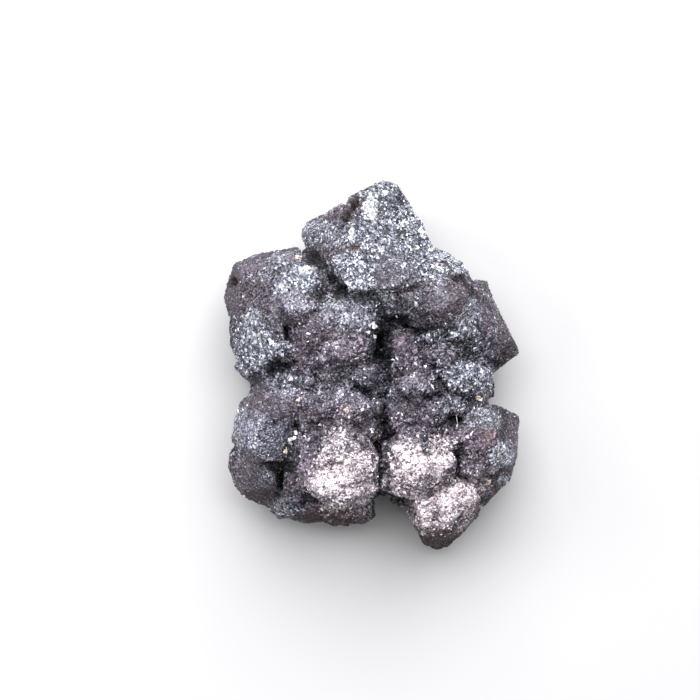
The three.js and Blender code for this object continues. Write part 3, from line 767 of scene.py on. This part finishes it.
def attribute(tree, name):
    node = tree.nodes.new("ShaderNodeAttribute")
    node.attribute_name = name
    return node.outputs["Fac"]


def first_channel(tree, colour):
    """The red of a colour, which for a cell's chance colour is a number from 0 to 1."""
    node = tree.nodes.new("ShaderNodeSeparateColor")
    tree.links.new(colour, node.inputs[0])
    return node.outputs[0]


def new_group(name, inputs, outputs):
    """A node group. Inputs give each name its socket type and first value, and outputs its type."""
    group = bpy.data.node_groups.new(name, "ShaderNodeTree")
    for label, (kind, value) in inputs.items():
        group.interface.new_socket(label, in_out="INPUT", socket_type=kind).default_value = value
    for label, kind in outputs.items():
        group.interface.new_socket(label, in_out="OUTPUT", socket_type=kind)
    return group, group.nodes.new("NodeGroupInput").outputs, group.nodes.new("NodeGroupOutput").inputs


def placed_group(tree, group, **values):
    """A node group placed in a material. Inputs that aren't given keep their first values."""
    node = tree.nodes.new("ShaderNodeGroup")
    node.node_tree = group
    for label, value in values.items():
        wire(tree, value, node.inputs[label])
    return node.outputs


def sparkle_group():
    """Turns the normal of each tiny cell its own way, so that some flash, and gives each a shade."""
    group, given, result = new_group(
        "sparkle",
        {
            "Cell Size": ("NodeSocketFloat", SPARKLE["cell"]),
            "Strength": ("NodeSocketFloat", SPARKLE["skin"]),
        },
        {"Normal": "NodeSocketVector", "Shade": "NodeSocketFloat"},
    )
    cells = group.nodes.new("ShaderNodeTexVoronoi")
    group.links.new(group.nodes.new("ShaderNodeTexCoord").outputs["Object"], cells.inputs["Vector"])
    group.links.new(math_node(group, "DIVIDE", 1 / MM, given["Cell Size"]), cells.inputs["Scale"])
    lean = vector_math(group, "SUBTRACT", cells.outputs["Color"], (0.5, 0.5, 0.5))
    lean = vector_math(group, "SCALE", lean, scale=given["Strength"])
    surface = group.nodes.new("ShaderNodeNewGeometry")
    turned = vector_math(group, "NORMALIZE", vector_math(group, "ADD", surface.outputs["Normal"], lean))
    group.links.new(turned, result["Normal"])
    group.links.new(first_channel(group, cells.outputs["Color"]), result["Shade"])
    return group


def plates_group():
    """Small plates of uneven shade with dark, wandering lines between them."""
    group, given, result = new_group(
        "plates",
        {
            "Cell Size": ("NodeSocketFloat", PLATES["cell"]),
            "Line Width": ("NodeSocketFloat", PLATES["line"]),
            "Wander": ("NodeSocketFloat", PLATES["wander"]),
        },
        {"Shade": "NodeSocketFloat"},
    )
    place = group.nodes.new("ShaderNodeTexCoord").outputs["Object"]
    wandering = group.nodes.new("ShaderNodeTexNoise")
    group.links.new(place, wandering.inputs["Vector"])
    wandering.inputs["Scale"].default_value = PLATES["bends_per_mm"] / MM
    aside = vector_math(group, "SUBTRACT", wandering.outputs["Color"], (0.5, 0.5, 0.5))
    far = math_node(group, "MULTIPLY", given["Wander"], 2 * MM)
    place = vector_math(group, "ADD", place, vector_math(group, "SCALE", aside, scale=far))
    scale = math_node(group, "DIVIDE", 1 / MM, given["Cell Size"])
    lines = group.nodes.new("ShaderNodeTexVoronoi")
    lines.feature = "DISTANCE_TO_EDGE"
    plates = group.nodes.new("ShaderNodeTexVoronoi")
    for texture in (lines, plates):
        group.links.new(place, texture.inputs["Vector"])
        group.links.new(scale, texture.inputs["Scale"])
    line = math_node(group, "DIVIDE", lines.outputs["Distance"], given["Line Width"], clamp=True)
    line = math_node(group, "ADD", line, PLATES["line_shade"])
    plate = first_channel(group, plates.outputs["Color"])
    plate = math_node(group, "MULTIPLY_ADD", plate, PLATES["shade_range"], PLATES["darkest"])
    group.links.new(math_node(group, "MULTIPLY", line, plate), result["Shade"])
    return group


def tone_group():
    """The colour, metal and roughness where finishes, painted shade and painted highlight meet, each laid
    over the one before.
    """
    inputs = {tone: ("NodeSocketFloat", 0.0) for tone in LAID_TONES}
    inputs["shade"] = ("NodeSocketFloat", 1.0)
    group, given, result = new_group(
        "hematite_tone",
        inputs,
        {"Color": "NodeSocketColor", "Metallic": "NodeSocketFloat", "Roughness": "NodeSocketFloat"},
    )
    colour, metal, roughness, _ = TONES["plain"]
    for tone in LAID_TONES:
        next_colour, next_metal, next_roughness, _ = TONES[tone]
        colour = mixed(group, "RGBA", given[tone], colour, next_colour)
        metal = mixed(group, "FLOAT", given[tone], metal, next_metal)
        roughness = mixed(group, "FLOAT", given[tone], roughness, next_roughness)
    shaded = vector_math(group, "SCALE", colour, scale=given["shade"])
    group.links.new(vector_math(group, "MINIMUM", shaded, BRIGHTEST), result["Color"])
    group.links.new(metal, result["Metallic"])
    group.links.new(roughness, result["Roughness"])
    return group


def hematite(name, strength):
    """Hematite, toned by the attributes of the piece and broken into flashing cells of uneven shade. Where
    it is silvery it is in small plates. The strength is how far the cells turn."""
    material, tree, shader = new_material(name)
    sparkle = placed_group(tree, GROUPS["sparkle"], Strength=strength)
    plates = placed_group(tree, GROUPS["plates"])
    tones = {tone: attribute(tree, tone) for tone in LAID_TONES}
    # The shade of a cell is its chance number to a power, times the factor that keeps the mean shade at 1.
    uneven = math_node(tree, "MULTIPLY", attribute(tree, "uneven"), SPARKLE["contrast"])
    by_cell = math_node(tree, "POWER", sparkle["Shade"], uneven)
    by_cell = math_node(tree, "MULTIPLY", by_cell, math_node(tree, "ADD", uneven, 1.0))
    by_plate = mixed(tree, "FLOAT", tones["silver"], 1.0, plates["Shade"])
    shade = math_node(tree, "MULTIPLY", attribute(tree, "shade"), by_cell)
    shade = math_node(tree, "MULTIPLY", shade, by_plate)
    tone = placed_group(tree, GROUPS["tone"], shade=shade, **tones)
    for label, socket in (("Color", "Base Color"), ("Metallic", "Metallic"), ("Roughness", "Roughness")):
        tree.links.new(tone[label], shader.inputs[socket])
    tree.links.new(sparkle["Normal"], shader.inputs["Normal"])
    return material


def pick_pale_grains(tones):
    """Makes grains pale by chance, as often as their zones say, and the others a little. Says which are."""
    chance = tones["pale"]
    is_pale = rng.random(len(chance)) < PALE_GRAINS["chance"] * chance
    paleness = rng.uniform(*PALE_GRAINS["tone"], len(chance))
    tones["pale"] = np.where(is_pale, paleness, PALE_GRAINS["tone_between"] * chance)
    darkest, brightest = PALE_GRAINS["shade"]
    darkest_between = PALE_GRAINS["darkest_between"] + PALE_GRAINS["lifted_between"] * chance
    lowest = np.where(is_pale, darkest, darkest_between)
    highest = np.where(is_pale, brightest, GRAIN_SHADE["range"][1])
    tones["shade"] = np.clip(tones["shade"], lowest, highest)
    return is_pale


def druse_regions(points):
    """Which points are in each region of the druse. The regions keep each mesh from growing too big."""
    x, y = points[:, 0], points[:, 1]
    middle = zone_weight(points, {"middle": DRUSY["middle"]}) > MIDDLE_FROM
    top = ~middle & (y > REGION_LINES["top"])
    upper = ~middle & ~top & (y > REGION_LINES["upper"])
    level = ~middle & ~top & ~upper & (y > REGION_LINES["level"])
    bottom = ~middle & (y <= REGION_LINES["level"])
    return {
        "druse_top": top,
        "druse_top_left": upper & (x < 0),
        "druse_top_right": upper & (x >= 0),
        "druse_left": level & (x < 0),
        "druse_right": level & (x >= 0),
        "druse_bottom_left": bottom & (x < 0),
        "druse_bottom_right": bottom & (x >= 0),
        "druse_middle": middle,
    }


def druse_and_crust(skin, relief):
    """The fine grains all over the skin: a piece for each region of the druse, and one for the pale crust."""
    fine = scattered(skin, relief, GRAINS)
    is_pale = pick_pale_grains(fine["tones"])
    for name, inside in druse_regions(fine["point"]).items():
        mesh = grown_grains(name, chosen_grains(fine, inside & ~is_pale), GRAINS)
        piece_from(mesh, name, GRAIN_FINISH)
    mesh = grown_grains("pale_crust", chosen_grains(fine, is_pale), GRAINS)
    piece_from(mesh, "pale_crust", GRAIN_FINISH)


def small_crystals(skin, relief):
    """The bigger crystals, only where it is drusy and the surface looks up."""
    coarse = scattered(skin, relief, CRYSTALS)
    coarse["tones"]["pale"] *= CRYSTALS["pale_share"]
    coarse["tones"]["silver"] *= CRYSTALS["silver_share"]
    drusy = zone_weight(coarse["point"], DRUSY) > CRYSTALS["drusy_from"]
    coarse = chosen_grains(coarse, drusy & (coarse["outward"][:, 2] > 0))
    piece_from(grown_grains("small_crystals", coarse, CRYSTALS), "small_crystals", GRAIN_FINISH)


def surface_below(tree, x, y):
    """Where a line straight down at x, y meets the surface in the tree, and the outward direction there."""
    place, outward, _, _ = tree.ray_cast(Vector((x, y, HIGH_ABOVE)), DOWN)
    return place, outward


def single_grains(name, tree, spots, tone):
    """A piece of separate light grains at spots. A grain that would miss the surface is left out."""
    points, outward, reach = [], [], []
    for x, y, size, count, spread in spots:
        for _ in range(count):
            place, up = surface_below(tree, x + spread * rng.normal(), y + spread * rng.normal())
            if place is not None:
                points.append(place[:])
                outward.append(up[:])
                reach.append(size * rng.uniform(*SINGLE_GRAINS["reach_share"]))
    count = len(points)
    lean = SINGLE_GRAINS["lean"] * rng.normal(size=(count, 3))
    shade = rng.uniform(*SINGLE_GRAINS["shade"], count)
    grains = {
        "point": np.array(points),
        "outward": np.array(outward),
        "up": unit(np.array(outward) + lean),
        "reach": np.array(reach),
        "tones": {tone: np.ones(count), "shade": shade, "uneven": np.full(count, SINGLE_GRAINS["uneven"])},
    }
    piece_from(grown_grains(name, grains, SINGLE_GRAINS), name, GRAIN_FINISH)


def fine_needles(tree):
    """The hair-thin white needles, just over the surface: each is a grain drawn out along its line."""
    corners, triangles = grain_shape()
    corners = corners / np.abs(corners).max(axis=0)
    lift = (0, 0, NEEDLE["lift"])
    places, faces = [], []
    for start_x, start_y, end_x, end_y in NEEDLES:
        start = np.array(surface_below(tree, start_x, start_y)[0]) + lift
        end = np.array(surface_below(tree, end_x, end_y)[0]) + lift
        along = (end - start) / 2
        across = NEEDLE["width"] * unit(np.cross(along, (0, 0, 1)))
        axes = np.stack([along, across, NEEDLE["width"] * unit(np.cross(across, along))])
        faces.append(triangles + len(places) * len(corners))
        places.append((start + end) / 2 + corners @ axes)
    mesh = bpy.data.meshes.new("fine_needles")
    mesh.from_pydata(np.concatenate(places), [], np.concatenate(faces))
    full = np.ones(len(mesh.vertices))
    write_attributes(mesh, {"white": full, "shade": full})
    piece_from(mesh, "fine_needles", GRAIN_FINISH)


def tone_skin(skin, relief):
    """Writes the skin's finishes and painted light to it, with painted shade in its hollows and in the gaps
    between the grains.
    """
    tones = tones_at(vertex_values(skin, "co"), vertex_values(skin, "normal"))
    shade = np.interp(tones["pale"], (0, 1), (PAINTED_GAP_SHADE["hematite"], PAINTED_GAP_SHADE["pale"])) * painted_hollow_shade(relief)
    uneven = spread_of(tones, np.zeros(len(relief)))
    write_attributes(skin, tones | {"shade": shade, "uneven": uneven})


def pale_floor():
    mesh = bpy.data.meshes.new("floor")
    work = bmesh.new()
    bmesh.ops.create_grid(work, x_segments=1, y_segments=1, size=FLOOR["half_width"])
    work.to_mesh(mesh)
    work.free()
    material, _, shader = new_material("pale_surface")
    shader.inputs["Base Color"].default_value = FLOOR["colour"]
    shader.inputs["Roughness"].default_value = FLOOR["roughness"]
    mesh.materials.append(material)
    floor = bpy.data.objects.new("floor", mesh)
    bpy.context.scene.collection.objects.link(floor)


def soft_light(name, place, size, energy):
    """A square soft light that looks at the specimen."""
    data = bpy.data.lights.new(name, "AREA")
    data.size = size
    data.energy = energy
    light = bpy.data.objects.new(name, data)
    bpy.context.scene.collection.objects.link(light)
    light.location = place
    light.rotation_mode = "QUATERNION"
    light.rotation_quaternion = (LIT_PLACE - Vector(place)).to_track_quat("-Z", "Y")


def even_daylight(scene):
    world = bpy.data.worlds.new("studio")
    world.use_nodes = True
    background = world.node_tree.nodes["Background"]
    background.inputs["Color"].default_value = DAYLIGHT["colour"]
    background.inputs["Strength"].default_value = DAYLIGHT["strength"]
    scene.world = world
    scene.view_settings.view_transform = "Standard"


def camera_from_above(scene):
    data = bpy.data.cameras.new("camera")
    data.lens = CAMERA["lens"]
    data.clip_start = CAMERA["nearest"] * MM
    camera = bpy.data.objects.new("camera", data)
    scene.collection.objects.link(camera)
    camera.location = MM * Vector(CAMERA["place"])
    scene.camera = camera


LAID_TONES = [tone for tone in TONES if tone != "plain"]
GROUPS = {"sparkle": sparkle_group(), "plates": plates_group(), "tone": tone_group()}
SKIN_FINISH = hematite("hematite_crust", SPARKLE["skin"])
GRAIN_FINISH = hematite("hematite_druse", SPARKLE["grains"])

# The specimen. Each step draws its own chance numbers, so their order is part of its shape.
skin, relief = skin_mesh()
skin_tree = BVHTree.FromPolygons(
    [v.co for v in skin.vertices], [tuple(face.vertices) for face in skin.polygons]
)
tone_skin(skin, relief)
druse_and_crust(skin, relief)
small_crystals(skin, relief)
single_grains("cream_grains", skin_tree, CREAM_SPOTS, "cream")
single_grains("white_flakes_and_glints", skin_tree, WHITE_SPOTS, "white")
fine_needles(skin_tree)
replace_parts(piece_from(skin, "crystal_skin", SKIN_FINISH), NODE)

# The surface that it lies on, the light and the camera.
pale_floor()
for lamp, (place, size, energy) in LAMPS.items():
    soft_light(lamp, place, size, energy)
even_daylight(bpy.context.scene)
camera_from_above(bpy.context.scene)
